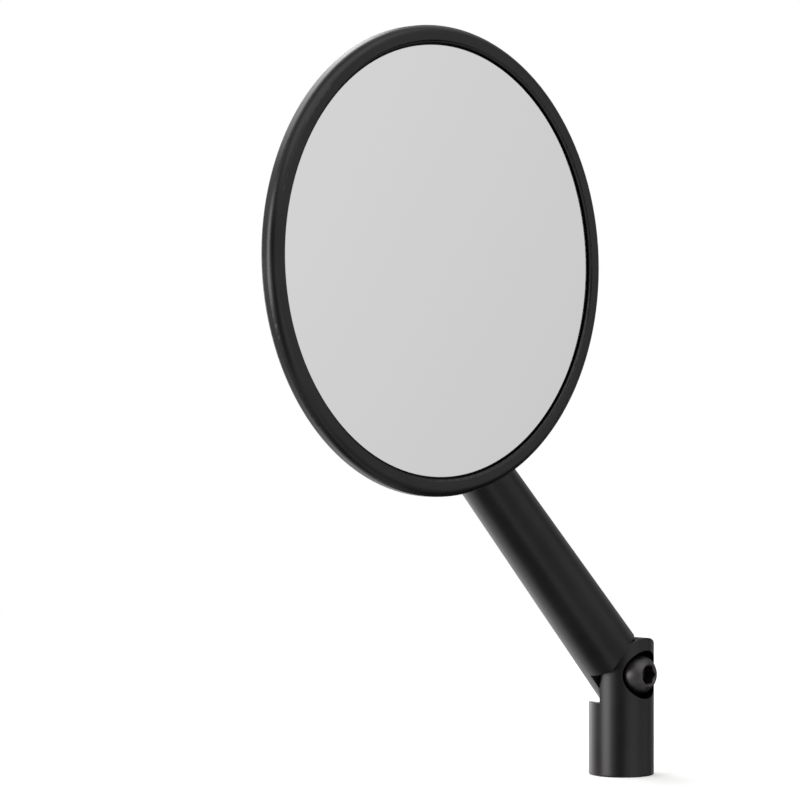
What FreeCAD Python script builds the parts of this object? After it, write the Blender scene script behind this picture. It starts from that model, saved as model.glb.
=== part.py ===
import FreeCAD, Part
import math
import os

import Sketcher

# A round motorcycle mirror on a tapered arm. The origin is the middle of the base's underside,
# where the stem thread enters. +Z is up, the glass faces -Y and the arm leans towards -X.

# Driving dimensions, in millimetres and degrees.
DIMENSIONS = {
    # mount base: a turned stem with a half-round tongue at its top
    "base_diameter": 16.3,
    "base_edge_round": 0.4,
    "pivot_height": 25.35,
    "base_step": 7.05,              # step of the base, below the pivot axis
    "base_tongue_margin": 1.05,     # round end of the base's tongue, past the stem's radius
    "hollow_clearance": 0.5,        # hollow in each step, round the other piece's tongue
    "lap_offset": 0.2,              # base's lap face, behind the stem axis
    "lap_clearance": 0.1,
    "hinge_edge_break": 0.1,        # chamfer on the edges of both hinge pieces
    "stem_thread_bore": 8.65,       # core diameter of an M10 x 1.25 thread
    "stem_thread_depth": 12.0,
    "stem_thread_lead": 0.7,
    "drill_point_angle": 118.0,
    # pivot screw and its spring washer
    "pivot_screw_diameter": 5.0,
    "pivot_head_diameter": 8.7,
    "pivot_head_height": 3.9,
    "pivot_head_land": 0.55,
    "pivot_key_width": 4.0,
    "pivot_key_depth": 2.8,
    "pivot_key_lip": 0.1,           # countersunk mouth, past the corners of the hexagon
    "pivot_key_rim": 0.4,           # flat ring round that mouth
    "pivot_thread_length": 6.4,
    "pivot_running_clearance": 0.05,
    "thread_clearance": 0.03,
    "counterbore_diameter": 12.0,
    "counterbore_floor": 4.4,       # floor of the counterbore, in front of the stem axis
    "washer_diameter": 10.0,
    "washer_thickness": 0.5,
    "washer_rise": 0.15,
    # arm: a tapered round bar with a lap tongue at its foot
    "arm_angle": 44.8,
    "arm_reach": 139.5,             # pivot axis to head axis
    "arm_root_diameter": 16.3,      # at the pivot axis
    "arm_tip_diameter": 11.45,      # at the head axis
    "arm_step": 7.9,                # step of the arm, from the pivot axis
    "arm_tongue_margin": 0.65,      # round end of the arm's tongue, past the arm's radius
    "arm_overrun": 8.0,
    "arm_end_round": 2.5,
    # ball stud and the grub screw that locks it
    "ball_diameter": 13.0,
    "neck_diameter": 6.4,
    "stud_hex_width": 8.0,
    "stud_hex_thickness": 3.0,
    "stud_seat_offset": 3.2,        # spot face on the arm, in front of the arm axis
    "stud_thread_diameter": 6.0,
    "stud_thread_length": 6.5,
    "stud_hole_spare": 0.5,
    "spot_face_clearance": 0.3,
    "grub_diameter": 4.0,
    "grub_length": 4.0,
    "grub_key_width": 2.0,
    "grub_key_depth": 2.0,
    "grub_point": 0.8,
    "grub_gap": 0.05,
    # head: dished housing, rubber seal, glass and its adhesive pad
    "rim_width": 3.88,              # wall of the glass pocket to the outside of the rim
    "head_standoff": 33.2,          # arm axis to the edge of the glass
    "rim_lip": 1.0,                 # rim stands in front of the edge of the glass
    "rim_depth": 2.95,              # edge of the glass to the back of the rim
    "rim_front_round": 1.9,
    "rim_inner_round": 0.5,
    "rim_back_round": 0.8,
    "back_rise": 9.0,
    "boss_foot_round": 2.0,
    "boss_edge_round": 0.6,
    "socket_floor": 2.1,
    "glass_diameter": 94.9,
    "glass_thickness": 2.0,
    "glass_curve_radius": 1400.0,
    "glass_clearance": 0.05,
    "seal_width": 0.45,
    "seal_clearance": 0.02,
    "seal_recess": 0.7,             # front of the seal, behind the edge of the glass
    "pad_thickness": 0.6,
    "pad_margin": 1.5,
    "pad_clearance": 0.02,
    # ball seats, collar and its screws
    "seat_thickness": 1.4,
    "seat_clearance": 0.05,
    "seat_edge_offset": 1.3,        # edges of both seats, from the middle of the ball
    "rear_seat_depth": 2.2,
    "collar_gap": 0.4,
    "collar_thickness": 5.0,
    "collar_lip": 0.9,
    "collar_mouth_flare": 0.8,
    "socket_wall": 0.8,
    "boss_wall": 1.2,
    "collar_screw_count": 3,
    "collar_screw_diameter": 3.0,
    "collar_screw_length": 6.0,     # thread below the collar's underside
    "collar_screw_hole_spare": 0.6,
    "collar_screw_running": 0.15,
    "collar_head_diameter": 5.5,
    "collar_head_height": 3.0,
    "collar_head_clearance": 0.2,
    "collar_head_recess": 0.2,
    "collar_key_width": 2.5,
    "collar_key_depth": 1.5,
}

# Sizes that follow from the driving ones, so that pieces which meet share them.
WORKED_OUT = {
    "base_radius": "sizes.base_diameter / 2",
    "base_tongue": "base_radius + sizes.base_tongue_margin",
    "blank_top": "sizes.pivot_height + 2 * base_tongue",
    "arm_tongue": "sizes.arm_root_diameter / 2 + sizes.arm_tongue_margin",
    "base_hollow": "arm_tongue + sizes.hollow_clearance",
    "base_hollow_edge": "sqrt(base_hollow^2 - sizes.base_step^2)",
    "bore_radius": "sizes.stem_thread_bore / 2",
    "bore_end": "sizes.stem_thread_depth + bore_radius / tan(sizes.drill_point_angle / 2)",
    "arm_lap_face": "sizes.lap_offset + sizes.lap_clearance",
    # pivot screw, along +Y from the stem axis
    "pivot_head_seat": "-sizes.counterbore_floor - sizes.washer_thickness - sizes.washer_rise",
    "pivot_head_top": "pivot_head_seat - sizes.pivot_head_height",
    "pivot_head_edge": "pivot_head_seat - sizes.pivot_head_land",
    "pivot_key_mouth": "sizes.pivot_key_width / sqrt(3) + sizes.pivot_key_lip",
    "pivot_key_sink": "pivot_head_top + pivot_key_mouth - sizes.pivot_key_width / 2",
    "pivot_flat_radius": "pivot_key_mouth + sizes.pivot_key_rim",
    "pivot_head_radius": "sizes.pivot_head_diameter / 2",
    "pivot_dome_centre": "(pivot_head_radius^2 - pivot_flat_radius^2 + pivot_head_edge^2"
                         " - pivot_head_top^2) / (2 * (pivot_head_edge - pivot_head_top))",
    "pivot_dome_radius": "sqrt(pivot_head_radius^2 + (pivot_head_edge - pivot_dome_centre)^2)",
    "pivot_hole": "sizes.pivot_screw_diameter + 2 * sizes.pivot_running_clearance",
    "pivot_screw_end": "arm_lap_face + sizes.pivot_thread_length",
    # arm, along its own axis from the pivot
    "arm_taper": "(sizes.arm_root_diameter - sizes.arm_tip_diameter) / 2 / sizes.arm_reach",
    "arm_hollow": "base_tongue + sizes.hollow_clearance",
    "arm_hollow_edge": "sqrt(arm_hollow^2 - sizes.arm_step^2)",
    "arm_foot": "2 * arm_tongue",
    "arm_foot_radius": "sizes.arm_root_diameter / 2 + arm_taper * arm_foot",
    "arm_end": "sizes.arm_reach + sizes.arm_overrun",
    "arm_end_radius": "sizes.arm_root_diameter / 2 - arm_taper * arm_end",
    "spot_face": "2 * sizes.stud_hex_width / sqrt(3) + 2 * sizes.spot_face_clearance",
    # head, along +Y from the edge of the glass
    "head_x": "-sizes.arm_reach * sin(sizes.arm_angle)",
    "head_z": "sizes.pivot_height + sizes.arm_reach * cos(sizes.arm_angle)",
    "glass_radius": "sizes.glass_diameter / 2",
    "glass_sag": "sizes.glass_curve_radius - sqrt(sizes.glass_curve_radius^2 - glass_radius^2)",
    "seal_inner": "glass_radius + sizes.glass_clearance",
    "pocket_radius": "seal_inner + sizes.seal_width + sizes.seal_clearance",
    "head_radius": "pocket_radius + sizes.rim_width",
    "pocket_floor": "sizes.glass_thickness + sizes.pad_thickness",
    "pad_radius": "glass_radius - sizes.pad_margin",
    "pad_middle": "sizes.glass_thickness - glass_sag + sizes.pad_clearance",
    "pad_edge": "pad_middle + sizes.glass_curve_radius"
                " - sqrt(sizes.glass_curve_radius^2 - pad_radius^2)",
    # ball joint, from the middle of the ball
    "ball_radius": "sizes.ball_diameter / 2",
    "neck_radius": "sizes.neck_diameter / 2",
    "neck_start": "sqrt(ball_radius^2 - neck_radius^2)",
    "seat_inner": "ball_radius + sizes.seat_clearance",
    "seat_outer": "seat_inner + sizes.seat_thickness",
    "socket_radius": "seat_outer + sizes.seat_clearance",
    "ball_depth": "pocket_floor + sizes.socket_floor + socket_radius",
    "ball_y": "ball_depth - sizes.head_standoff",
    "stud_seat": "-sizes.stud_seat_offset - ball_y",
    "rear_seat_end": "sizes.seat_edge_offset + sizes.rear_seat_depth",
    "collar_top": "sizes.collar_gap + sizes.collar_thickness",
    "collar_lip_height": "rear_seat_end + sizes.collar_lip",
    "collar_mouth": "sqrt(socket_radius^2 - collar_lip_height^2)",
    "collar_head_hole": "sizes.collar_head_diameter + 2 * sizes.collar_head_clearance",
    "collar_head_seat": "collar_top - sizes.collar_head_height - sizes.collar_head_recess",
    "collar_screw_hole": "sizes.collar_screw_diameter + 2 * sizes.collar_screw_running",
    "collar_pitch": "socket_radius + sizes.socket_wall + collar_head_hole / 2",
    "boss_radius": "collar_pitch + collar_head_hole / 2 + sizes.boss_wall",
    "dome_foot": "boss_radius + sizes.boss_foot_round",
    "dome_rim": "head_radius - sizes.rim_back_round",
    "dome_centre": "(dome_rim^2 - dome_foot^2 + sizes.rim_depth^2 - sizes.back_rise^2)"
                   " / (2 * (sizes.rim_depth - sizes.back_rise))",
    "dome_radius": "sqrt(dome_rim^2 + (sizes.rim_depth - dome_centre)^2)",
}

PAST = "(2 * sizes.base_diameter)"     # half-width of a cut that runs past the stem or the arm
TOUCH = 0.001                          # how near a point is to a surface that it lies on

doc = FreeCAD.newDocument("motorcycle_mirror")


def add_sheet(name, cells):
    sheet = doc.addObject("Spreadsheet::Sheet", name)
    for row, (alias, content) in enumerate(cells.items(), start=1):
        sheet.set(f"A{row}", alias)
        sheet.set(f"B{row}", content)
        sheet.setAlias(f"B{row}", alias)
    doc.recompute()
    return sheet


sizes = add_sheet("sizes", {alias: str(number) for alias, number in DIMENSIONS.items()})
fits = add_sheet("fits", {alias: "=" + formula for alias, formula in WORKED_OUT.items()})


def value(text):
    return float(sizes.evalExpression(text))


# Sketches: corners are pairs of expressions, so that every point follows the sheets.

def add_sketch(body, name, role, offset="0"):
    sketch = body.newObject("Sketcher::SketchObject", name)
    plane = next(item for item in body.Origin.OriginFeatures if item.Role == role)
    sketch.AttachmentSupport = [(plane, "")]
    sketch.MapMode = "FlatFace"
    sketch.setExpression("AttachmentOffset.Base.z", offset)
    return sketch


def pin_point(sketch, edge, end, corner):
    for axis, line, text in (("X", -2, corner[0]), ("Y", -1, corner[1])):
        if text == "0":
            sketch.addConstraint(Sketcher.Constraint("PointOnObject", edge, end, line))
            continue
        rule = Sketcher.Constraint("Distance" + axis, -1, 1, edge, end, value(text))
        sketch.setExpression(f"Constraints[{sketch.addConstraint(rule)}]", text)


def arc_between(first, last, radius, turn):
    chord = last - first
    height = math.sqrt(max(radius ** 2 - (chord.Length / 2) ** 2, 0))
    side = FreeCAD.Vector(-chord.y, chord.x, 0).normalize() * height * turn
    centre = (first + last) / 2 + side
    start, end = (first, last) if turn > 0 else (last, first)
    angles = [math.atan2(point.y - centre.y, point.x - centre.x) for point in (start, end)]
    if angles[1] < angles[0]:
        angles[1] += 2 * math.pi
    circle = Part.Circle(centre, FreeCAD.Vector(0, 0, 1), radius)
    return Part.ArcOfCircle(circle, angles[0], angles[1])


def draw_outline(sketch, corners):
    # A corner is (x, y) at the end of a straight run, or (x, y, radius, turn) at the end of an arc
    # that turns anticlockwise for 1 and clockwise for -1.
    points = [FreeCAD.Vector(value(corner[0]), value(corner[1]), 0) for corner in corners]
    ends = []
    for index, corner in enumerate(corners):
        first, last = points[index - 1], points[index]
        if len(corner) == 2:
            sketch.addGeometry(Part.LineSegment(first, last))
            ends.append((1, 2))
            continue
        radius, turn = corner[2:]
        sketch.addGeometry(arc_between(first, last, value(radius), turn))
        ends.append((1, 2) if turn > 0 else (2, 1))
    for index, corner in enumerate(corners):
        following = (index + 1) % len(corners)
        joint = Sketcher.Constraint("Coincident", index, ends[index][1], following, ends[following][0])
        sketch.addConstraint(joint)
        pin_point(sketch, index, ends[index][1], corner)
    for index, corner in enumerate(corners):
        if len(corner) > 2:
            rule = Sketcher.Constraint("Radius", index, value(corner[2]))
            sketch.setExpression(f"Constraints[{sketch.addConstraint(rule)}]", corner[2])


def draw_circle(sketch, x, y, diameter):
    middle = FreeCAD.Vector(value(x), value(y), 0)
    circle = Part.Circle(middle, FreeCAD.Vector(0, 0, 1), value(diameter) / 2)
    edge = sketch.addGeometry(circle)
    pin_point(sketch, edge, 3, (x, y))
    rule = Sketcher.Constraint("Diameter", edge, value(diameter))
    sketch.setExpression(f"Constraints[{sketch.addConstraint(rule)}]", diameter)


def draw_hexagon(sketch, width):
    # Corners point along the sketch's own x axis, and the flats are the given width apart.
    corner = f"({width} / sqrt(3))"
    half, flat = f"({corner} / 2)", f"({width} / 2)"
    draw_outline(sketch, [
        (corner, "0"),
        (half, flat),
        (f"-{half}", flat),
        (f"-{corner}", "0"),
        (f"-{half}", f"-{flat}"),
        (half, f"-{flat}"),
    ])


# Features: each cut is compared with the solid before it.

def add_body(label):
    body = doc.addObject("PartDesign::Body", label)
    body.Label = label
    return body


def turn_profile(body, name, corners):
    sketch = add_sketch(body, name + "_profile", "XZ_Plane")
    draw_outline(sketch, corners)
    feature = body.newObject("PartDesign::Revolution", name)
    feature.Profile = sketch
    feature.ReferenceAxis = (sketch, ["V_Axis"])
    feature.Angle = 360
    return feature


def pad(body, name, sketch, length):
    feature = body.newObject("PartDesign::Pad", name)
    feature.Profile = sketch
    feature.setExpression("Length", length)
    doc.recompute()
    return feature


def pocket(body, name, sketch, length=None, reverse=False, both_ways=False):
    before = body.Shape.Volume
    feature = body.newObject("PartDesign::Pocket", name)
    feature.Profile = sketch
    feature.Reversed = reverse
    if both_ways:
        feature.SideType = "Symmetric"
    if length:
        feature.setExpression("Length", length)
    else:
        feature.Type = "ThroughAll"
    doc.recompute()
    if body.Shape.Volume >= before:
        raise RuntimeError(f"{name} cuts nothing")
    return feature


def polar_pattern(body, name, originals, count):
    feature = body.newObject("PartDesign::PolarPattern", name)
    feature.Originals = originals
    axis = next(item for item in body.Origin.OriginFeatures if item.Role == "Z_Axis")
    feature.Axis = (axis, [""])
    feature.setExpression("Occurrences", count)
    body.Tip = feature
    doc.recompute()
    return feature


def dress_edges(body, name, kind, size, chosen):
    doc.recompute()
    base = body.Tip
    edges = [f"Edge{n}" for n, edge in enumerate(base.Shape.Edges, start=1) if chosen(edge)]
    if not edges:
        raise RuntimeError(f"{name} finds no edge")
    feature = body.newObject("PartDesign::" + kind, name)
    feature.Base = (base, edges)
    feature.setExpression({"Fillet": "Radius", "Chamfer": "Size"}[kind], size)
    doc.recompute()
    return feature


def on_turned_side(radius, taper, low, high):
    # Picks the edges between two heights whose ends lie on the turned outside of a piece.
    def chosen(edge):
        ends = [vertex.Point for vertex in edge.Vertexes]
        outside = all(abs(math.hypot(end.x, end.y) + taper * end.z - radius) < TOUCH for end in ends)
        return outside and edge.BoundBox.ZMin > low and edge.BoundBox.ZMax < high
    return chosen


def around_pivot(height, radius):
    # Picks the edges whose ends lie at one distance from the pivot axis.
    def chosen(edge):
        ends = [vertex.Point for vertex in edge.Vertexes]
        return all(abs(math.hypot(end.x, end.z - height) - radius) < TOUCH for end in ends)
    return chosen


# Placements: the pivot, the arm, the edge of the glass and the middle of the ball.

def place(body, x, y, z, axis=None, angle="0"):
    direction = FreeCAD.Vector(axis) if axis else FreeCAD.Vector(0, 0, 1)
    body.Placement = FreeCAD.Placement(FreeCAD.Vector(), FreeCAD.Rotation(direction, value(angle)))
    for name, text in (("x", x), ("y", y), ("z", z)):
        body.setExpression("Placement.Base." + name, text)
    if axis:
        body.setExpression("Placement.Rotation.Angle", angle)


def place_on_pivot(body):
    place(body, "0", "0", "sizes.pivot_height", (-1, 0, 0), "90")


def place_on_arm(body):
    place(body, "0", "0", "sizes.pivot_height", (0, -1, 0), "sizes.arm_angle")


def place_on_head(body):
    place(body, "fits.head_x", "-sizes.head_standoff", "fits.head_z", (-1, 0, 0), "90")


def place_on_ball(body):
    place(body, "fits.head_x", "fits.ball_y", "fits.head_z", (-1, 0, 0), "90")


# Mount base and hinge. Both halves of the hinge have a lap: a step, hollowed round the pivot to
# clear the other piece's tongue, and a tongue with a round end. way is 1 up and -1 down.

def draw_lap(sketch, piece, pivot, way):
    step = f"{pivot} + {way} * sizes.{piece}_step"
    far = f"{pivot} - {way} * {PAST}"
    hollow = f"fits.{piece}_hollow"
    draw_outline(sketch, [
        (f"-{PAST}", far),
        (f"-{PAST}", step),
        (f"-{hollow}_edge", step),
        (f"{hollow}_edge", step, hollow, -way),
        (PAST, step),
        (PAST, far),
    ])


def draw_tongue_end(sketch, piece, pivot, way):
    radius = f"fits.{piece}_tongue"
    far = f"{pivot} + {way} * {PAST}"
    draw_outline(sketch, [
        (radius, pivot),
        ("0", f"{pivot} + {way} * {radius}", radius, way),
        (f"-{radius}", pivot, radius, way),
        (f"-{PAST}", pivot),
        (f"-{PAST}", far),
        (PAST, far),
        (PAST, pivot),
    ])


def make_mount_base():
    body = add_body("mount_base")
    foot, lead = "sizes.base_edge_round", "sizes.stem_thread_lead"
    turn_profile(body, "stem", [
        (f"fits.bore_radius + {lead}", "0"),
        (f"fits.base_radius - {foot}", "0"),
        ("fits.base_radius", foot, foot, 1),
        ("fits.base_radius", "fits.blank_top"),
        ("0", "fits.blank_top"),
        ("0", "fits.bore_end"),
        ("fits.bore_radius", "sizes.stem_thread_depth"),
        ("fits.bore_radius", lead),
    ])
    doc.recompute()

    counterbore = add_sketch(body, "counterbore_section", "XZ_Plane", "sizes.counterbore_floor")
    draw_circle(counterbore, "0", "sizes.pivot_height", "sizes.counterbore_diameter")
    pocket(body, "counterbore", counterbore, reverse=True)
    hole = add_sketch(body, "pivot_hole_section", "XZ_Plane")
    draw_circle(hole, "0", "sizes.pivot_height", "fits.pivot_hole")
    pocket(body, "pivot_hole", hole, both_ways=True)

    lap = add_sketch(body, "lap_section", "XZ_Plane", "-sizes.lap_offset")
    draw_lap(lap, "base", "sizes.pivot_height", -1)
    pocket(body, "lap", lap)
    tongue_end = add_sketch(body, "tongue_end_section", "XZ_Plane")
    draw_tongue_end(tongue_end, "base", "sizes.pivot_height", 1)
    pocket(body, "tongue_end", tongue_end, both_ways=True)
    cut = on_turned_side(value("fits.base_radius"), 0, value(f"2 * {foot}"), value("fits.blank_top"))
    mouth = around_pivot(value("sizes.pivot_height"), value("sizes.counterbore_diameter / 2"))
    dress_edges(
        body, "broken_edges", "Chamfer", "sizes.hinge_edge_break",
        lambda edge: cut(edge) and not mouth(edge),
    )
    place(body, "0", "0", "0")
    return body


def make_pivot_screw():
    body = add_body("pivot_screw")
    turn_profile(body, "screw", [
        ("0", "fits.pivot_key_sink"),
        ("sizes.pivot_key_width / 2", "fits.pivot_key_sink"),
        ("fits.pivot_key_mouth", "fits.pivot_head_top"),
        ("fits.pivot_flat_radius", "fits.pivot_head_top"),
        ("fits.pivot_head_radius", "fits.pivot_head_edge", "fits.pivot_dome_radius", 1),
        ("fits.pivot_head_radius", "fits.pivot_head_seat"),
        ("sizes.pivot_screw_diameter / 2", "fits.pivot_head_seat"),
        ("sizes.pivot_screw_diameter / 2", "fits.pivot_screw_end"),
        ("0", "fits.pivot_screw_end"),
    ])
    doc.recompute()
    key = add_sketch(body, "key_section", "XY_Plane", "fits.pivot_head_top")
    draw_hexagon(key, "sizes.pivot_key_width")
    pocket(body, "key", key, "sizes.pivot_key_depth", reverse=True)
    place_on_pivot(body)
    return body


def make_pivot_washer():
    body = add_body("pivot_spring_washer")
    inner, outer = "(fits.pivot_hole / 2)", "(sizes.washer_diameter / 2)"
    floor, height = "-sizes.counterbore_floor", "sizes.washer_thickness"
    turn_profile(body, "washer", [
        (inner, f"{floor} - sizes.washer_rise"),
        (inner, f"{floor} - sizes.washer_rise - {height}"),
        (outer, f"{floor} - {height}"),
        (outer, floor),
    ])
    place_on_pivot(body)
    return body


# Arm

def make_arm():
    body = add_body("arm")
    turn_profile(body, "bar", [
        ("0", "-fits.arm_foot"),
        ("fits.arm_foot_radius", "-fits.arm_foot"),
        ("fits.arm_end_radius", "fits.arm_end"),
        ("0", "fits.arm_end"),
    ])
    reach = value("sizes.arm_reach")
    dress_edges(
        body, "end_round", "Fillet", "sizes.arm_end_round",
        lambda edge: edge.BoundBox.ZMin > reach,
    )

    lap = add_sketch(body, "lap_section", "XZ_Plane", "-fits.arm_lap_face")
    draw_lap(lap, "arm", "0", 1)
    pocket(body, "lap", lap, reverse=True)
    tongue_end = add_sketch(body, "tongue_end_section", "XZ_Plane")
    draw_tongue_end(tongue_end, "arm", "0", -1)
    pocket(body, "tongue_end", tongue_end, both_ways=True)

    hole = add_sketch(body, "pivot_thread_section", "XZ_Plane")
    draw_circle(hole, "0", "0", "sizes.pivot_screw_diameter + 2 * sizes.thread_clearance")
    pocket(body, "pivot_thread", hole, both_ways=True)
    root, taper = value("sizes.arm_root_diameter / 2"), value("fits.arm_taper")
    cut = on_turned_side(root, taper, -value("fits.arm_foot"), reach)
    dress_edges(body, "broken_edges", "Chamfer", "sizes.hinge_edge_break", cut)

    spot = add_sketch(body, "spot_face_section", "XZ_Plane", "sizes.stud_seat_offset")
    draw_circle(spot, "0", "sizes.arm_reach", "fits.spot_face")
    pocket(body, "spot_face", spot, reverse=True)
    stud = add_sketch(body, "stud_thread_section", "XZ_Plane", "sizes.stud_seat_offset")
    draw_circle(stud, "0", "sizes.arm_reach", "sizes.stud_thread_diameter + 2 * sizes.thread_clearance")
    pocket(body, "stud_thread", stud, "sizes.stud_thread_length + sizes.stud_hole_spare")
    grub = add_sketch(body, "grub_thread_section", "XY_Plane", "sizes.arm_reach")
    draw_circle(grub, "0", "0", "sizes.grub_diameter + 2 * sizes.thread_clearance")
    pocket(body, "grub_thread", grub, reverse=True)
    place_on_arm(body)
    return body


def make_ball_stud():
    body = add_body("ball_stud")
    turn_profile(body, "ball", [
        ("0", "-fits.ball_radius"),
        ("fits.neck_radius", "fits.neck_start", "fits.ball_radius", 1),
        ("fits.neck_radius", "fits.stud_seat"),
        ("0", "fits.stud_seat"),
    ])
    hexagon = add_sketch(body, "hex_section", "XY_Plane", "fits.stud_seat - sizes.stud_hex_thickness")
    draw_hexagon(hexagon, "sizes.stud_hex_width")
    pad(body, "hex", hexagon, "sizes.stud_hex_thickness")
    thread = add_sketch(body, "thread_section", "XY_Plane", "fits.stud_seat")
    draw_circle(thread, "0", "0", "sizes.stud_thread_diameter")
    pad(body, "thread", thread, "sizes.stud_thread_length")
    place_on_ball(body)
    return body


def make_stud_lock_screw():
    body = add_body("stud_lock_screw")
    start = "(sizes.arm_reach + sizes.stud_thread_diameter / 2 + sizes.grub_gap)"
    radius = "(sizes.grub_diameter / 2)"
    end = f"({start} + sizes.grub_length)"
    turn_profile(body, "screw", [
        ("0", start),
        (f"{radius} - sizes.grub_point", start),
        (radius, f"{start} + sizes.grub_point"),
        (radius, end),
        ("0", end),
    ])
    doc.recompute()
    key = add_sketch(body, "key_section", "XY_Plane", end)
    draw_hexagon(key, "sizes.grub_key_width")
    pocket(body, "key", key, "sizes.grub_key_depth")
    place_on_arm(body)
    return body


# Head

def make_head_housing():
    body = add_body("head_housing")
    front, inner, back = "sizes.rim_front_round", "sizes.rim_inner_round", "sizes.rim_back_round"
    foot, edge = "sizes.boss_foot_round", "sizes.boss_edge_round"
    turn_profile(body, "dish", [
        ("0", "fits.pocket_floor"),
        ("fits.pocket_radius", "fits.pocket_floor"),
        ("fits.pocket_radius", f"{inner} - sizes.rim_lip"),
        (f"fits.pocket_radius + {inner}", "-sizes.rim_lip", inner, -1),
        (f"fits.head_radius - {front}", "-sizes.rim_lip"),
        ("fits.head_radius", f"{front} - sizes.rim_lip", front, 1),
        ("fits.head_radius", f"sizes.rim_depth - {back}"),
        ("fits.dome_rim", "sizes.rim_depth", back, 1),
        ("fits.dome_foot", "sizes.back_rise", "fits.dome_radius", 1),
        ("fits.boss_radius", f"sizes.back_rise + {foot}", foot, -1),
        ("fits.boss_radius", f"fits.ball_depth - {edge}"),
        (f"fits.boss_radius - {edge}", "fits.ball_depth", edge, 1),
        ("fits.socket_radius", "fits.ball_depth"),
        ("0", "fits.ball_depth - fits.socket_radius", "fits.socket_radius", -1),
    ])
    doc.recompute()
    thread = add_sketch(body, "collar_thread_section", "XY_Plane", "fits.ball_depth")
    draw_circle(thread, "fits.collar_pitch", "0", "sizes.collar_screw_diameter + 2 * sizes.thread_clearance")
    depth = "sizes.collar_screw_length - sizes.collar_gap + sizes.collar_screw_hole_spare"
    hole = pocket(body, "collar_thread", thread, depth)
    polar_pattern(body, "collar_threads", [hole], "sizes.collar_screw_count")
    place_on_head(body)
    return body


def make_glass_seal():
    body = add_body("glass_seal")
    outer = "(fits.pocket_radius - sizes.seal_clearance)"
    turn_profile(body, "seal", [
        ("fits.seal_inner", "fits.pocket_floor"),
        ("fits.seal_inner", "sizes.seal_recess"),
        (outer, "sizes.seal_recess"),
        (outer, "fits.pocket_floor"),
    ])
    place_on_head(body)
    return body


def make_mirror_glass():
    body = add_body("mirror_glass")
    curve = "sizes.glass_curve_radius"
    turn_profile(body, "glass", [
        ("0", "-fits.glass_sag"),
        ("fits.glass_radius", "0", curve, 1),
        ("fits.glass_radius", "sizes.glass_thickness"),
        ("0", "sizes.glass_thickness - fits.glass_sag", curve, -1),
    ])
    place_on_head(body)
    return body


def make_glass_pad():
    body = add_body("glass_pad")
    turn_profile(body, "pad", [
        ("0", "fits.pad_middle"),
        ("fits.pad_radius", "fits.pad_edge", "sizes.glass_curve_radius", 1),
        ("fits.pad_radius", "fits.pocket_floor"),
        ("0", "fits.pocket_floor"),
    ])
    place_on_head(body)
    return body


# Ball joint of the head

def on_sphere(radius, height):
    return f"sqrt({radius}^2 - ({height})^2)"


def make_front_ball_seat():
    body = add_body("front_ball_seat")
    inner, outer, edge = "fits.seat_inner", "fits.seat_outer", "-sizes.seat_edge_offset"
    turn_profile(body, "cup", [
        ("0", f"-{outer}"),
        (on_sphere(outer, edge), edge, outer, 1),
        (on_sphere(inner, edge), edge),
        ("0", f"-{inner}", inner, -1),
    ])
    place_on_ball(body)
    return body


def make_rear_ball_seat():
    body = add_body("rear_ball_seat")
    inner, outer = "fits.seat_inner", "fits.seat_outer"
    near, far = "sizes.seat_edge_offset", "fits.rear_seat_end"
    turn_profile(body, "ring", [
        (on_sphere(outer, near), near),
        (on_sphere(outer, far), far, outer, 1),
        (on_sphere(inner, far), far),
        (on_sphere(inner, near), near, inner, -1),
    ])
    place_on_ball(body)
    return body


def make_ball_collar():
    body = add_body("ball_collar")
    gap, top, edge = "sizes.collar_gap", "fits.collar_top", "sizes.boss_edge_round"
    socket, lip = "fits.socket_radius", "fits.collar_lip_height"
    turn_profile(body, "collar", [
        ("fits.boss_radius", gap),
        ("fits.boss_radius", f"{top} - {edge}"),
        (f"fits.boss_radius - {edge}", top, edge, 1),
        ("fits.collar_mouth + sizes.collar_mouth_flare", top),
        ("fits.collar_mouth", lip),
        (on_sphere(socket, gap), gap, socket, -1),
    ])
    doc.recompute()
    hole = add_sketch(body, "screw_hole_section", "XY_Plane", gap)
    draw_circle(hole, "fits.collar_pitch", "0", "fits.collar_screw_hole")
    shank = pocket(body, "screw_hole", hole, reverse=True)
    recess = add_sketch(body, "head_hole_section", "XY_Plane", "fits.collar_head_seat")
    draw_circle(recess, "fits.collar_pitch", "0", "fits.collar_head_hole")
    head = pocket(body, "head_hole", recess, reverse=True)
    polar_pattern(body, "screw_holes", [shank, head], "sizes.collar_screw_count")
    place_on_ball(body)
    return body


def make_collar_screw(number):
    body = add_body(f"collar_screw_{number}")
    seat = "fits.collar_head_seat"
    tip = "(sizes.collar_gap - sizes.collar_screw_length)"
    head = add_sketch(body, "head_section", "XY_Plane", seat)
    draw_circle(head, "0", "0", "sizes.collar_head_diameter")
    pad(body, "head", head, "sizes.collar_head_height")
    shank = add_sketch(body, "shank_section", "XY_Plane", tip)
    draw_circle(shank, "0", "0", "sizes.collar_screw_diameter")
    pad(body, "shank", shank, f"{seat} - {tip}")
    key = add_sketch(body, "key_section", "XY_Plane", f"{seat} + sizes.collar_head_height")
    draw_hexagon(key, "sizes.collar_key_width")
    pocket(body, "key", key, "sizes.collar_key_depth")
    turn = f"(360 * {number - 1} / sizes.collar_screw_count)"
    x = f"fits.head_x + fits.collar_pitch * cos({turn})"
    z = f"fits.head_z + fits.collar_pitch * sin({turn})"
    place(body, x, "fits.ball_y", z, (-1, 0, 0), "90")
    return body


SUB_PARTS = [
    make_mount_base(),
    make_pivot_screw(),
    make_pivot_washer(),
    make_arm(),
    make_ball_stud(),
    make_stud_lock_screw(),
    make_head_housing(),
    make_glass_seal(),
    make_mirror_glass(),
    make_glass_pad(),
    make_front_ball_seat(),
    make_rear_ball_seat(),
    make_ball_collar(),
    *[make_collar_screw(number) for number in range(1, DIMENSIONS["collar_screw_count"] + 1)],
]

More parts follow.
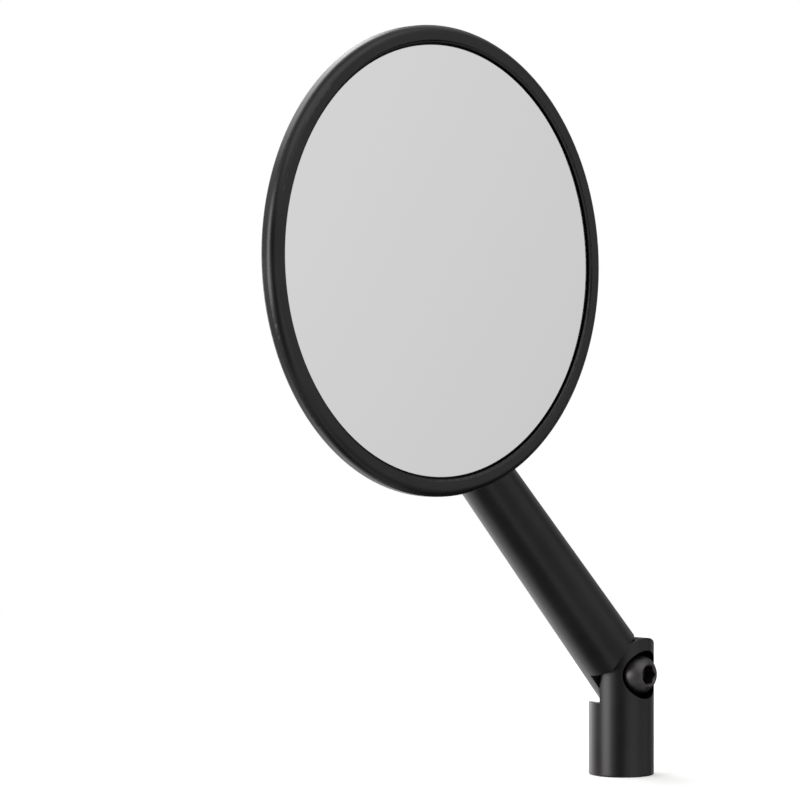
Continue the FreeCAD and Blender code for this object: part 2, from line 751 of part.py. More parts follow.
doc.recompute()
failed = [item.Label for item in doc.Objects if {"Invalid", "Error"} & set(item.State)]
if failed:
    raise RuntimeError("failed to build: " + ", ".join(failed))
for part in SUB_PARTS:
    if part.Shape.isNull() or not part.Shape.isValid():
        raise RuntimeError(part.Label + " has no valid shape")

os.makedirs("parts", exist_ok=True)
for part in SUB_PARTS:
    part.Shape.exportStep(f"parts/{part.Label}.step")
    print(f"{part.Label}: {part.Shape.Volume:.1f} mm3, {len(part.Shape.Solids)} solid(s)")
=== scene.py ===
import math

import bmesh
import bpy
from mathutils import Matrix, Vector


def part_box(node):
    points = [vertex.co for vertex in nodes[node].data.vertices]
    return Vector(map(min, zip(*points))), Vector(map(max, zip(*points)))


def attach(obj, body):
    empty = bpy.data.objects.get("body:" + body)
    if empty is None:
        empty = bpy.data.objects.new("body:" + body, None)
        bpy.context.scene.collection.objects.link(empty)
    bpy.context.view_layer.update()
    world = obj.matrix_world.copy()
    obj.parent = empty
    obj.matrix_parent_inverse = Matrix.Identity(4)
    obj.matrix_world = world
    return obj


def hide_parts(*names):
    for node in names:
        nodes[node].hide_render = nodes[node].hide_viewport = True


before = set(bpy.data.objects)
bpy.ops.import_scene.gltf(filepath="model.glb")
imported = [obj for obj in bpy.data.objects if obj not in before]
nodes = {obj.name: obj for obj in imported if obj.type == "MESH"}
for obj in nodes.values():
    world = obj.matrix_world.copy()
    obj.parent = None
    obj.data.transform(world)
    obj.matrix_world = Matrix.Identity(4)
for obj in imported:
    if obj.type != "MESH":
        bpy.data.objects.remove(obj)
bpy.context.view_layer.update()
print("frame loaded with", len(nodes), "pieces")

glassLow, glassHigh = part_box("mirror_glass")
glassMiddle = (glassLow + glassHigh) / 2
glassRadius = (glassHigh.x - glassLow.x) / 2
screwLow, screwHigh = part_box("pivot_screw")
pivotMiddle = (screwLow + screwHigh) / 2
millimetre = 0.001
white = (1, 1, 1, 1)


def linear(hexText):
    # sRGB hex to the linear colour that a socket takes
    parts = [int(hexText[i:i + 2], 16) / 255 for i in (1, 3, 5)]
    return [c / 12.92 if c <= 0.04045 else ((c + 0.055) / 1.055) ** 2.4 for c in parts] + [1.0]


def perMetre(sizeMm):
    return 1 / (sizeMm * millimetre)


def addNode(tree, kind, settings=None, links=None):
    # a key is an input's name or number, or else one of the node's own properties
    node = tree.nodes.new(kind)
    for key, value in (settings or {}).items():
        if isinstance(key, int) or key in node.inputs:
            node.inputs[key].default_value = value
        else:
            setattr(node, key, value)
    for key, source in (links or {}).items():
        tree.links.new(source, node.inputs[key])
    return node


def emptyTree(owner):
    owner.use_nodes = True
    owner.node_tree.nodes.clear()
    return owner.node_tree


def startMaterial(name):
    material = bpy.data.materials.new(name)
    tree = emptyTree(material)
    place = addNode(tree, "ShaderNodeTexCoord").outputs["Object"]
    return material, tree, place


def finishMaterial(tree, settings, links):
    surface = addNode(tree, "ShaderNodeBsdfPrincipled", settings, links)
    addNode(tree, "ShaderNodeOutputMaterial", links={"Surface": surface.outputs[0]})


def cloudTone(tree, place, look):
    # broad clouds, stretched so that they reach from 0 to 1
    cloud = addNode(tree, "ShaderNodeTexNoise", {
        "Scale": perMetre(look["cloudMm"]), "Detail": look["cloudDetail"],
    }, {"Vector": place})
    low, high = look["cloudRange"]
    tone = addNode(tree, "ShaderNodeMapRange", {
        "From Min": low, "From Max": high,
    }, {"Value": cloud.outputs["Fac"]})
    return tone.outputs[0]


def blendPairs(tree, look, pattern, glossPattern=None):
    # a pattern takes the colour and the roughness from the first of each pair to the second
    first, second = look["colours"]
    low, high = look["roughness"]
    colour = addNode(tree, "ShaderNodeMix", {
        "data_type": "RGBA", 6: linear(first), 7: linear(second),
    }, {0: pattern})
    gloss = addNode(tree, "ShaderNodeMapRange", {
        "To Min": low, "To Max": high,
    }, {"Value": pattern if glossPattern is None else glossPattern})
    return colour.outputs[2], gloss.outputs[0]


def wearEdges(tree, look, colour):
    # where a rounded normal leaves the flat one, the dark coat is a little thinner
    rounded = addNode(tree, "ShaderNodeBevel", {
        "samples": look["edgeSamples"], "Radius": look["edgeMm"] * millimetre,
    })
    flat = addNode(tree, "ShaderNodeNewGeometry")
    along = addNode(tree, "ShaderNodeVectorMath", {"operation": "DOT_PRODUCT"}, {
        0: rounded.outputs[0], 1: flat.outputs["Normal"],
    })
    start, full = look["edgeTurn"]
    edge = addNode(tree, "ShaderNodeMapRange", {
        "From Min": start, "From Max": full,
    }, {"Value": along.outputs["Value"]})
    worn = addNode(tree, "ShaderNodeMix", {
        "data_type": "RGBA", 7: linear(look["edgeColour"]),
    }, {0: edge.outputs[0], 6: colour})
    return worn.outputs[2], rounded.outputs[0]


def markSkin(tree, place, look, under=None):
    # the fine marks that making the piece left all over it
    marks = addNode(tree, "ShaderNodeTexNoise", {
        "Scale": perMetre(look["markMm"]),
    }, {"Vector": place})
    skin = addNode(tree, "ShaderNodeBump", {
        "Strength": look["markStrength"], "Distance": look["markDepthMm"] * millimetre,
    }, {"Height": marks.outputs["Fac"]})
    if under is not None:
        tree.links.new(under, skin.inputs["Normal"])
    return skin.outputs[0]


def fromAxis(tree, place, middle, across):
    # distance from a line through the middle; across has a 1 for each direction that counts
    offset = addNode(tree, "ShaderNodeVectorMath", {
        "operation": "SUBTRACT", 1: middle,
    }, {0: place})
    flat = addNode(tree, "ShaderNodeVectorMath", {
        "operation": "MULTIPLY", 1: across,
    }, {0: offset.outputs[0]})
    reach = addNode(tree, "ShaderNodeVectorMath", {"operation": "LENGTH"}, {0: flat.outputs[0]})
    return reach.outputs["Value"]


# anodised aluminium, turned, blasted with fine beads and dyed black:
# a soft satin with no lines, nearly black face on and pale at a glancing angle
anodised = {
    "colours": ("#2c2b2b", "#313030"),
    "roughness": (0.29, 0.36),
    "cloudMm": 14.0,
    "cloudDetail": 4.0,
    "cloudRange": (0.3, 0.7),
    "markMm": 0.3,        # real bead marks are near 0.1 mm, drawn coarser so that they show
    "markDepthMm": 0.006,
    "markStrength": 0.6,
    "edgeColour": "#3b3a3a",
    "edgeMm": 0.18,       # how far the dye is rubbed thin at an edge
    "edgeTurn": (0.995, 0.82),    # cosines of the turn where the wear starts and is full
    "edgeSamples": 6,
}
# the base only: its tapped bore, and painted shade round its pivot
tapped = {
    "pitchMm": 1.25,
    "depthMm": 0.5,
    "ridgeTop": 0.5,      # height of the ridge in turns, half a turn up and half a turn down
    "boreMm": 4.7,        # radius that takes in the bore and leaves out the outside
    "counterboreMm": 6.02,
    # near-black colour and dull roughness painted in as the shade in the counterbore round the
    # pivot
    "pivotShadeColour": "#060606",
    "pivotShadeRoughness": 0.6,
}
# the head only: the dish behind the rim, shot blasted too coarse to mirror a lamp
coarseBack = {
    "roughness": 0.6,
    "glance": "#5c5c5c",          # how much of a low light the coarse back gives off
    "turnedBack": (0.3, 0.8),     # the normal's part along +Y where this starts and is full
}


def cutThread(tree, place, skin):
    # a ridge that winds once round the bore for each pitch
    xyz = addNode(tree, "ShaderNodeSeparateXYZ", links={0: place})
    angle = addNode(tree, "ShaderNodeMath", {"operation": "ARCTAN2"}, {
        0: xyz.outputs["Y"], 1: xyz.outputs["X"],
    })
    turns = addNode(tree, "ShaderNodeMath", {
        "operation": "DIVIDE", 1: 2 * math.pi,
    }, {0: angle.outputs[0]})
    rise = addNode(tree, "ShaderNodeMath", {
        "operation": "MULTIPLY_ADD", 1: perMetre(tapped["pitchMm"]),
    }, {0: xyz.outputs["Z"], 2: turns.outputs[0]})
    ridge = addNode(tree, "ShaderNodeMath", {
        "operation": "PINGPONG", 1: tapped["ridgeTop"],
    }, {0: rise.outputs[0]})
    inside = addNode(tree, "ShaderNodeMath", {
        "operation": "LESS_THAN", 1: tapped["boreMm"] * millimetre,
    }, {0: fromAxis(tree, place, (0, 0, 0), (1, 1, 0))})
    thread = addNode(tree, "ShaderNodeMath", {"operation": "MULTIPLY"}, {
        0: ridge.outputs[0], 1: inside.outputs[0],
    })
    cut = addNode(tree, "ShaderNodeBump", {
        "Strength": 1.0, "Distance": tapped["depthMm"] * millimetre / tapped["ridgeTop"],
    }, {"Height": thread.outputs[0], "Normal": skin})
    return cut.outputs[0]


def shadePivotRecess(tree, place, colour, gloss):
    # painted shade: the counterbore and the faces round the pivot are coloured near black and made
    # duller, where shade falls in that recess
    pivotShadeMask = addNode(tree, "ShaderNodeMath", {
        "operation": "LESS_THAN", 1: tapped["counterboreMm"] * millimetre,
    }, {0: fromAxis(tree, place, pivotMiddle, (1, 0, 1))})
    black = addNode(tree, "ShaderNodeMix", {
        "data_type": "RGBA", 7: linear(tapped["pivotShadeColour"]),
    }, {0: pivotShadeMask.outputs[0], 6: colour})
    dull = addNode(tree, "ShaderNodeMix", {3: tapped["pivotShadeRoughness"]}, {
        0: pivotShadeMask.outputs[0], 2: gloss,
    })
    return black.outputs[2], dull.outputs[0]


def coarsenBack(tree, gloss):
    facing = addNode(tree, "ShaderNodeTexCoord").outputs["Normal"]
    ways = addNode(tree, "ShaderNodeSeparateXYZ", links={0: facing})
    start, full = coarseBack["turnedBack"]
    behind = addNode(tree, "ShaderNodeMapRange", {
        "From Min": start, "From Max": full,
    }, {"Value": ways.outputs["Y"]})
    rough = addNode(tree, "ShaderNodeMix", {3: coarseBack["roughness"]}, {
        0: behind.outputs[0], 2: gloss,
    })
    glance = addNode(tree, "ShaderNodeMix", {
        "data_type": "RGBA", 6: white, 7: linear(coarseBack["glance"]),
    }, {0: behind.outputs[0]})
    return rough.outputs[0], glance.outputs[2]


def makeAnodised(name, isTapped=False, isCoarse=False):
    material, tree, place = startMaterial(name)
    colour, gloss = blendPairs(tree, anodised, cloudTone(tree, place, anodised))
    colour, rounded = wearEdges(tree, anodised, colour)
    skin = markSkin(tree, place, anodised, rounded)
    links = {}
    if isTapped:
        skin = cutThread(tree, place, skin)
        # painted shade in the counterbore round the pivot
        colour, gloss = shadePivotRecess(tree, place, colour, gloss)
    if isCoarse:
        gloss, links["Specular Tint"] = coarsenBack(tree, gloss)
    links.update({"Base Color": colour, "Roughness": gloss, "Normal": skin})
    finishMaterial(tree, {"Metallic": 1.0}, links)
    return material


# black-oxide steel, cold headed and tumbled: an oily dark grey, paler on its rubbed edges
blackOxide = {
    "colours": ("#413f3f", "#4a4848"),
    "roughness": (0.4, 0.5),
    "cloudMm": 2.2,
    "cloudDetail": 5.0,
    "cloudRange": (0.3, 0.7),
    "markMm": 0.22,       # real grain is under 0.05 mm, drawn coarser so that it shows
    "markDepthMm": 0.003,
    "markStrength": 0.5,
    "edgeColour": "#605e5e",
    "edgeMm": 0.15,
    "edgeTurn": (0.99, 0.8),
    "edgeSamples": 6,
}


def makeBlackOxide():
    material, tree, place = startMaterial("blackOxideSteel")
    colour, gloss = blendPairs(tree, blackOxide, cloudTone(tree, place, blackOxide))
    colour, rounded = wearEdges(tree, blackOxide, colour)
    finishMaterial(tree, {"Metallic": 1.0}, {
        "Base Color": colour, "Roughness": gloss,
        "Normal": markSkin(tree, place, blackOxide, rounded),
    })
    return material


# float glass with a chromium coat, bent and ground round: a clear grey reflection,
# a trace of wipe marks, and a dull ground edge
silvered = {
    "bendMm": 1400.0,     # radius that the glass is bent to
    "colours": ("#cfcfcf", "#a9acab"),    # face and ground edge
    "roughness": (0.012, 0.03),
    "wipeMm": 26.0,
    "wipeDetail": 6.0,
    "wipeSmear": 0.6,
    "wipeRange": (0.35, 0.7),
    "groundMm": 0.12,     # width of the ground edge
    "groundRoughness": 0.4,
}


def makeSilvered():
    material, tree, place = startMaterial("chromiumCoatedGlass")
    wipe = addNode(tree, "ShaderNodeTexNoise", {
        "Scale": perMetre(silvered["wipeMm"]), "Detail": silvered["wipeDetail"],
        "Distortion": silvered["wipeSmear"],
    }, {"Vector": place})
    start, full = silvered["wipeRange"]
    low, high = silvered["roughness"]
    gloss = addNode(tree, "ShaderNodeMapRange", {
        "From Min": start, "From Max": full, "To Min": low, "To Max": high,
    }, {"Value": wipe.outputs["Fac"]})
    ground = addNode(tree, "ShaderNodeMapRange", {
        "From Min": glassRadius - silvered["groundMm"] * millimetre, "From Max": glassRadius,
    }, {"Value": fromAxis(tree, place, glassMiddle, (1, 0, 1))})
    face, edge = silvered["colours"]
    colour = addNode(tree, "ShaderNodeMix", {
        "data_type": "RGBA", 6: linear(face), 7: linear(edge),
    }, {0: ground.outputs[0]})
    dull = addNode(tree, "ShaderNodeMix", {3: silvered["groundRoughness"]}, {
        0: ground.outputs[0], 2: gloss.outputs[0],
    })

    # the face's normal comes from its sphere, since the mesh has a false one at the middle
    sphereMiddle = (glassMiddle.x, glassLow.y + silvered["bendMm"] * millimetre, glassMiddle.z)
    outward = addNode(tree, "ShaderNodeVectorMath", {
        "operation": "SUBTRACT", 1: sphereMiddle,
    }, {0: place})
    turned = addNode(tree, "ShaderNodeVectorTransform", {
        "vector_type": "NORMAL", "convert_from": "OBJECT", "convert_to": "WORLD",
    }, {0: outward.outputs[0]})
    flat = addNode(tree, "ShaderNodeNewGeometry")
    bent = addNode(tree, "ShaderNodeMix", {"data_type": "VECTOR"}, {
        0: ground.outputs[0], 4: turned.outputs[0], 5: flat.outputs["Normal"],
    })
    finishMaterial(tree, {"Metallic": 1.0}, {
        "Base Color": colour.outputs[2], "Roughness": dull.outputs[0], "Normal": bent.outputs[1],
    })
    return material


# nitrile rubber, moulded: flat black with a faint bloom and a fine skin
rubber = {
    "colours": ("#080808", "#121211"),
    "roughness": (0.5, 0.68),
    "ior": 1.52,
    "specular": 0.15,
    "bloomMm": 3.0,
    "bloomDetail": 5.0,
    "markMm": 0.25,       # real skin marks are near 0.1 mm, drawn coarser so that they show
    "markDepthMm": 0.01,
    "markStrength": 0.6,
}


def makeRubber():
    material, tree, place = startMaterial("mouldedNitrileRubber")
    bloom = addNode(tree, "ShaderNodeTexNoise", {
        "Scale": perMetre(rubber["bloomMm"]), "Detail": rubber["bloomDetail"],
    }, {"Vector": place})
    colour, gloss = blendPairs(tree, rubber, bloom.outputs["Fac"])
    finishMaterial(tree, {"IOR": rubber["ior"], "Specular IOR Level": rubber["specular"]}, {
        "Base Color": colour, "Roughness": gloss, "Normal": markSkin(tree, place, rubber),
    })
    return material


# acetal, moulded: black and waxy, with a slight sparkle of flow marks
acetal = {
    "colours": ("#0e0e0f", "#19191a"),
    "roughness": (0.34, 0.48),
    "ior": 1.48,
    "flowMm": 4.0,
    "flowSmear": 1.2,
    "markMm": 0.3,        # real spark erosion is near 0.1 mm, drawn coarser so that it shows
    "markDepthMm": 0.006,
    "markStrength": 0.5,
}


def makeAcetal():
    material, tree, place = startMaterial("mouldedAcetal")
    flow = addNode(tree, "ShaderNodeTexNoise", {
        "Scale": perMetre(acetal["flowMm"]), "Distortion": acetal["flowSmear"],
    }, {"Vector": place})
    colour, gloss = blendPairs(tree, acetal, flow.outputs["Fac"])
    finishMaterial(tree, {"IOR": acetal["ior"]}, {
        "Base Color": colour, "Roughness": gloss, "Normal": markSkin(tree, place, acetal),
    })
    return material


# zinc-plated steel, ground before plating: a cool bright grey with fine rings and faint spangle
zinc = {
    "colours": ("#b4b5b6", "#c9cac8"),
    "roughness": (0.22, 0.36),
    "spangleMm": 0.9,
    "ringMm": 2.2,        # real grinding marks are near 0.05 mm, drawn coarser so that they show
    "ringSmear": 1.5,
    "ringDetail": 3.0,
    "ringDepthMm": 0.003,
    "ringStrength": 0.4,
}
ringsPerUnit = 20 / (2 * math.pi)    # rings that a wave texture draws in one unit at scale 1


def makeZinc():
    material, tree, place = startMaterial("zincPlatedSteel")
    spangle = addNode(tree, "ShaderNodeTexVoronoi", {
        "Scale": perMetre(zinc["spangleMm"]),
    }, {"Vector": place})
    shade = addNode(tree, "ShaderNodeSeparateColor", links={0: spangle.outputs["Color"]})
    colour, gloss = blendPairs(tree, zinc, shade.outputs[0], shade.outputs[1])
    rings = addNode(tree, "ShaderNodeTexWave", {
        "bands_direction": "Y", "Scale": perMetre(zinc["ringMm"]) / ringsPerUnit,
        "Distortion": zinc["ringSmear"], "Detail": zinc["ringDetail"],
    }, {"Vector": place})
    skin = addNode(tree, "ShaderNodeBump", {
        "Strength": zinc["ringStrength"], "Distance": zinc["ringDepthMm"] * millimetre,
    }, {"Height": rings.outputs["Fac"]})
    finishMaterial(tree, {"Metallic": 1.0}, {
        "Base Color": colour, "Roughness": gloss, "Normal": skin.outputs[0],
    })
    return material


# spring steel, hardened and blued: dark with a blue-brown drift from the heat
blued = {
    "colours": ("#0e0f12", "#14120f"),
    "roughness": (0.26, 0.38),
    "driftMm": 3.5,
    "driftDetail": 3.0,
}


def makeBlued():
    material, tree, place = startMaterial("bluedSpringSteel")
    drift = addNode(tree, "ShaderNodeTexNoise", {
        "Scale": perMetre(blued["driftMm"]), "Detail": blued["driftDetail"],
    }, {"Vector": place})
    colour, gloss = blendPairs(tree, blued, drift.outputs["Fac"])
    finishMaterial(tree, {"Metallic": 1.0}, {"Base Color": colour, "Roughness": gloss})
    return material


# acrylic foam tape, cast and cut: dead matt charcoal with tiny open cells
foam = {
    "colours": ("#242424", "#151515"),    # middle of a cell and its wall
    "roughness": 0.92,
    "cellMm": 0.4,        # real cells are near 0.15 mm, drawn coarser so that they show
    "cellDepthMm": 0.08,
    "cellStrength": 0.8,
}


def makeFoam():
    material, tree, place = startMaterial("acrylicFoam")
    cells = addNode(tree, "ShaderNodeTexVoronoi", {
        "Scale": perMetre(foam["cellMm"]),
    }, {"Vector": place})
    middle, wall = foam["colours"]
    colour = addNode(tree, "ShaderNodeMix", {
        "data_type": "RGBA", 6: linear(middle), 7: linear(wall),
    }, {0: cells.outputs["Distance"]})
    skin = addNode(tree, "ShaderNodeBump", {
        "Strength": foam["cellStrength"], "Distance": foam["cellDepthMm"] * millimetre,
    }, {"Height": cells.outputs["Distance"]})
    finishMaterial(tree, {"Roughness": foam["roughness"]}, {
        "Base Color": colour.outputs[2], "Normal": skin.outputs[0],
    })
    return material


blackAluminium = makeAnodised("blastedAnodisedAluminium")
tappedAluminium = makeAnodised("tappedAnodisedAluminium", isTapped=True)
oxideSteel = makeBlackOxide()
mouldedAcetal = makeAcetal()
finishOf = {
    "mount_base": tappedAluminium,
    "pivot_screw": oxideSteel,
    "pivot_spring_washer": makeBlued(),
    "arm": blackAluminium,
    "ball_stud": makeZinc(),
    "stud_lock_screw": oxideSteel,
    "head_housing": makeAnodised("shotBlastedAnodisedAluminium", isCoarse=True),
    "glass_seal": makeRubber(),
    "mirror_glass": makeSilvered(),
    "glass_pad": makeFoam(),
    "front_ball_seat": mouldedAcetal,
    "rear_ball_seat": mouldedAcetal,
    "ball_collar": blackAluminium,
    "collar_screw_1": oxideSteel,
    "collar_screw_2": oxideSteel,
    "collar_screw_3": oxideSteel,
}
for name, material in finishOf.items():
    nodes[name].data.materials.clear()
    nodes[name].data.materials.append(material)
print("finishes on", len(finishOf), "pieces")


def toPiece(name, shape):
    mesh = bpy.data.meshes.new(name)
    shape.to_mesh(mesh)
    shape.free()
    piece = bpy.data.objects.new(name, mesh)
    bpy.context.scene.collection.objects.link(piece)
    return piece


# pivot screw: its domed head is wider than the CAD node's, as the photograph shows it
pivotScrew = {
    "sides": 96,          # a multiple of 6, so that the hexagon's corners fall on points
    "headMm": 4.88,       # radii, from the middle out
    "keyMm": 2.2,         # from the middle to a flat of the hexagon
    "mouthMm": 2.6,
    "crownMm": 2.95,
    "shankMm": 2.5,
    "tipMm": 2.1,
    "seatMm": -5.05,      # where the head sits on the washer
    "headTallMm": 4.1,
    "landMm": 0.95,
    "keyDeepMm": 3.7,
    "keyPointMm": 0.5,
    "domeSteps": 14,
    "tipLongMm": 0.4,
    "sharpDegrees": 28,
}


def makePivotScrew():
    screw = pivotScrew
    sides = screw["sides"]
    seat, end = screw["seatMm"], screwHigh.y / millimetre
    front, rim = seat - screw["headTallMm"], seat - screw["landMm"]
    angles = [2 * math.pi * step / sides for step in range(sides)]
    hexagon = [
        screw["keyMm"] / math.cos(angle % (math.pi / 3) - math.pi / 6) for angle in angles
    ]

    def circle(radius, along):
        return [(radius, along)] * sides

    # each ring holds a radius and a place along the axis for every angle
    rings = [
        [(radius, front + screw["keyDeepMm"]) for radius in hexagon],
        [(radius, front + screw["mouthMm"] - radius) for radius in hexagon],
        circle(screw["mouthMm"], front),
    ]
    # the dome is an arc from the crown to the rim, about a point on the axis
    crownToRim = screw["headMm"] ** 2 - screw["crownMm"] ** 2 + rim ** 2 - front ** 2
    middle = crownToRim / (2 * (rim - front))
    domeRadius = math.hypot(screw["headMm"], rim - middle)
    first = math.atan2(middle - front, screw["crownMm"])
    last = math.atan2(middle - rim, screw["headMm"])
    for step in range(screw["domeSteps"] + 1):
        angle = first + (last - first) * step / screw["domeSteps"]
        rings.append(circle(domeRadius * math.cos(angle), middle - domeRadius * math.sin(angle)))
    rings += [
        circle(screw["headMm"], seat),
        circle(screw["shankMm"], seat),
        circle(screw["shankMm"], end - screw["tipLongMm"]),
        circle(screw["tipMm"], end),
    ]

    shape = bmesh.new()

    def point(radius, angle, along):
        return shape.verts.new((
            pivotMiddle.x + radius * math.cos(angle) * millimetre,
            along * millimetre,
            pivotMiddle.z + radius * math.sin(angle) * millimetre,
        ))

    loops = [
        [point(radius, angle, along) for (radius, along), angle in zip(ring, angles)]
        for ring in rings
    ]
    neighbours = [(i, (i + 1) % sides) for i in range(sides)]
    for inner, outer in zip(loops, loops[1:]):
        for i, j in neighbours:
            shape.faces.new((inner[i], inner[j], outer[j], outer[i]))
    keyPoint = point(0, 0, front + screw["keyDeepMm"] + screw["keyPointMm"])
    tip = point(0, 0, end)
    for i, j in neighbours:
        shape.faces.new((keyPoint, loops[0][j], loops[0][i]))
        shape.faces.new((tip, loops[-1][i], loops[-1][j]))
    bmesh.ops.recalc_face_normals(shape, faces=shape.faces)
    piece = toPiece("pivotScrewDomed", shape)
    piece.data.shade_smooth()
    piece.data.set_sharp_from_angle(angle=math.radians(screw["sharpDegrees"]))
    piece.data.materials.append(oxideSteel)
    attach(piece, "arm")
    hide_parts("pivot_screw")


makePivotScrew()
print("pivot screw made")


# studio: pale floor, white surroundings, soft boxes and grey cards
studio = {
    "floorColour": "#f4f4f3",
    "floorRadius": 2.5,
    "floorSides": 96,
    "shadeRadius": (0.25, 0.6),   # the floor goes from lit to plain white between these
    "floorGlow": 0.25,
    "roomLight": 0.4,
}


def seenRays(tree):
    # 1 for what is seen, straight or in a reflection, and 0 for what only lights the part
    path = addNode(tree, "ShaderNodeLightPath")
    sight = addNode(tree, "ShaderNodeMath", {"operation": "ADD"}, {
        0: path.outputs["Is Camera Ray"], 1: path.outputs["Is Glossy Ray"],
    })
    seen = addNode(tree, "ShaderNodeMath", {"operation": "ADD", "use_clamp": True}, {
        0: sight.outputs[0], 1: path.outputs["Is Transmission Ray"],
    })
    return seen.outputs[0]


def fadeRound(tree, place, radii, amounts):
    # goes smoothly from one amount to the other between two distances from the middle
    reach = addNode(tree, "ShaderNodeVectorMath", {"operation": "LENGTH"}, {0: place})
    fade = addNode(tree, "ShaderNodeMapRange", {
        "interpolation_type": "SMOOTHSTEP", "From Min": radii[0], "From Max": radii[1],
        "To Min": amounts[0], "To Max": amounts[1],
    }, {"Value": reach.outputs["Value"]})
    return fade.outputs[0]


def makeFloor():
    sheet = bmesh.new()
    bmesh.ops.create_circle(
        sheet, cap_ends=True, segments=studio["floorSides"], radius=studio["floorRadius"],
    )
    floor = toPiece("floor", sheet)
    floor.visible_glossy = False    # the metal shows the white room and the boxes in its place
    floor.visible_shadow = False

    material, tree, place = startMaterial("paleFloor")
    seen = seenRays(tree)
    matt = addNode(tree, "ShaderNodeBsdfDiffuse", {"Color": linear(studio["floorColour"])})
    lift = addNode(tree, "ShaderNodeMath", {
        "operation": "MULTIPLY", 1: studio["floorGlow"],
    }, {0: seen})
    glow = addNode(tree, "ShaderNodeEmission", links={"Strength": lift.outputs[0]})
    near = addNode(tree, "ShaderNodeAddShader", links={0: matt.outputs[0], 1: glow.outputs[0]})
    far = addNode(tree, "ShaderNodeEmission", {"Strength": 1.0})
    fade = fadeRound(tree, place, studio["shadeRadius"], (0.0, 1.0))
    onlySeen = addNode(tree, "ShaderNodeMath", {"operation": "MULTIPLY"}, {0: fade, 1: seen})
    both = addNode(tree, "ShaderNodeMixShader", links={
        0: onlySeen.outputs[0], 1: near.outputs[0], 2: far.outputs[0],
    })
    addNode(tree, "ShaderNodeOutputMaterial", links={"Surface": both.outputs[0]})
    floor.data.materials.append(material)


def makeSurroundings():
    world = bpy.data.worlds.new("whiteRoom")
    bpy.context.scene.world = world
    tree = emptyTree(world)
    fill = addNode(tree, "ShaderNodeBackground", {"Color": white, "Strength": studio["roomLight"]})
    plain = addNode(tree, "ShaderNodeBackground", {"Color": white, "Strength": 1.0})
    both = addNode(tree, "ShaderNodeMixShader", links={
        0: seenRays(tree), 1: fill.outputs[0], 2: plain.outputs[0],
    })
    addNode(tree, "ShaderNodeOutputWorld", links={"Surface": both.outputs[0]})


# where each box and card stands: degrees round from +X, degrees up and metres away
lookAt = Vector((-0.05, -0.01, 0.09))
softBoxes = {
    "leftBox": {"turn": 164, "rise": 5, "away": 1.0, "size": (0.58, 0.72), "bright": 6.6},
    "leftWingBox": {"turn": 189, "rise": -3, "away": 0.9, "size": (0.3, 0.32), "bright": 1.6},
    "backTopBox": {"turn": 88, "rise": 48, "away": 1.1, "size": (1.1, 0.75), "bright": 3.4},
    "backMidBox": {"turn": 92, "rise": -2, "away": 1.1, "size": (0.9, 0.32), "bright": 2.6},
    "backLowBox": {"turn": 94, "rise": -36, "away": 1.1, "size": (0.9, 1.1), "bright": 0.7},
    "frontTopBox": {"turn": -97, "rise": 50, "away": 1.1, "size": (1.5, 0.75), "bright": 1.3},
    "frontLowBox": {"turn": -92, "rise": -13, "away": 1.1, "size": (0.7, 0.28), "bright": 0.5},
}
# grey cards, as a photographer stands them out of view, so that black metal shows its shape
greyCards = {
    "rightCard": {"turn": 4, "rise": 13, "away": 1.05, "size": (1.5, 1.0), "grey": 0.35},
    "rightHighCard": {"turn": 36, "rise": 24, "away": 0.95, "size": (0.42, 0.5), "grey": 0.06},
    "rightLowCard": {"turn": 5, "rise": -38, "away": 1.05, "size": (1.5, 0.95), "grey": 0.04},
    "leftCard": {"turn": 197, "rise": -8, "away": 0.95, "size": (0.6, 1.5), "grey": 0.3},
    "cameraCard": {"turn": -138, "rise": -6, "away": 1.05, "size": (0.5, 1.1), "grey": 0.35},
    "frontLowCard": {"turn": -62, "rise": -32, "away": 1.05, "size": (0.9, 0.6), "grey": 0.62},
    "lowCard": {"turn": 215, "rise": -80, "away": 1.0, "size": (0.75, 0.75), "grey": 0.3},
    # the white sheet that the glass shows: its grey changes per metre across and up,
    # and goes back to plain white between the two radii
    "glassCard": {
        "turn": -47, "rise": 4.5, "away": 1.04, "size": (0.64, 0.64), "grey": 1.0,
        "slope": (-0.24, 0.16, 0), "fade": (0.2, 0.31),
    },
}
hiddenFrom = ("diffuse", "transmission", "shadow", "volume_scatter")    # rays that miss the cards


def standAt(thing, spot):
    turn, rise = math.radians(spot["turn"]), math.radians(spot["rise"])
    level = math.cos(rise)
    way = Vector((math.cos(turn) * level, math.sin(turn) * level, math.sin(rise)))
    thing.location = lookAt + way * spot["away"]
    thing.rotation_euler = (-way).to_track_quat("-Z", "Y").to_euler()
    thing.visible_camera = False


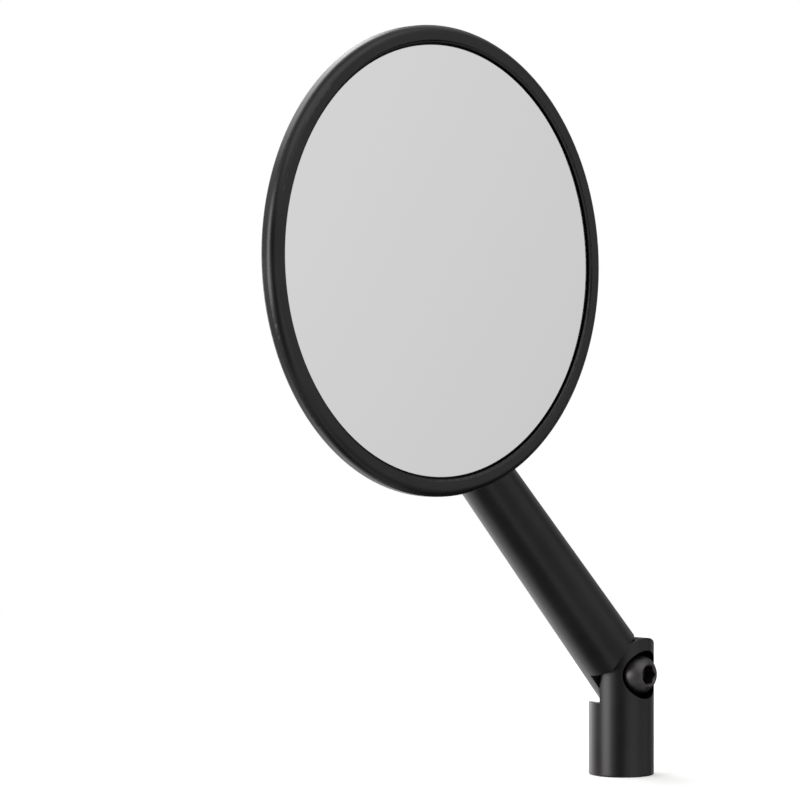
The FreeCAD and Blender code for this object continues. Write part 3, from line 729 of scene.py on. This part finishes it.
def makeSoftBoxes():
    for name, spot in softBoxes.items():
        lamp = bpy.data.lights.new(name, "AREA")
        lamp.shape = "RECTANGLE"
        lamp.size, lamp.size_y = spot["size"]
        lamp.energy = spot["bright"] * math.pi * lamp.size * lamp.size_y
        box = bpy.data.objects.new(name, lamp)
        bpy.context.scene.collection.objects.link(box)
        standAt(box, spot)


def makeGreyCards():
    for name, spot in greyCards.items():
        sheet = bmesh.new()
        bmesh.ops.create_grid(sheet, x_segments=1, y_segments=1, size=0.5)    # 1 m square
        bmesh.ops.scale(sheet, vec=(*spot["size"], 1), verts=sheet.verts)
        card = toPiece(name, sheet)
        standAt(card, spot)
        for rays in hiddenFrom:
            setattr(card, "visible_" + rays, False)
        material = bpy.data.materials.new(name)
        tree = emptyTree(material)
        glow = addNode(tree, "ShaderNodeEmission", {"Strength": spot["grey"]})
        if "slope" in spot:
            place = addNode(tree, "ShaderNodeTexCoord").outputs["Object"]
            slope = addNode(tree, "ShaderNodeVectorMath", {
                "operation": "DOT_PRODUCT", 1: spot["slope"],
            }, {0: place})
            shade = addNode(tree, "ShaderNodeMath", {
                "operation": "MULTIPLY_ADD", 2: spot["grey"],
            }, {0: slope.outputs["Value"], 1: fadeRound(tree, place, spot["fade"], (1.0, 0.0))})
            tree.links.new(shade.outputs[0], glow.inputs["Strength"])
        addNode(tree, "ShaderNodeOutputMaterial", links={"Surface": glow.outputs[0]})
        card.data.materials.append(material)


makeFloor()
makeSurroundings()
makeSoftBoxes()
makeGreyCards()
bpy.context.scene.view_settings.view_transform = "Standard"
print("studio ready")

# the photograph's view: a long lens, level with the middle of the arm
viewpoint = {
    "place": (-0.57158, -0.49278, 0.09417),
    "turn": (89.970, 0.0, -45.014),
    "lensMm": 135.0,
    "filmMm": 36.0,
}
camera = bpy.data.objects.new("camera", bpy.data.cameras.new("camera"))
bpy.context.scene.collection.objects.link(camera)
camera.location = viewpoint["place"]
camera.rotation_euler = [math.radians(angle) for angle in viewpoint["turn"]]
camera.data.lens = viewpoint["lensMm"]
camera.data.sensor_width = viewpoint["filmMm"]
bpy.context.scene.camera = camera
print("camera ready")
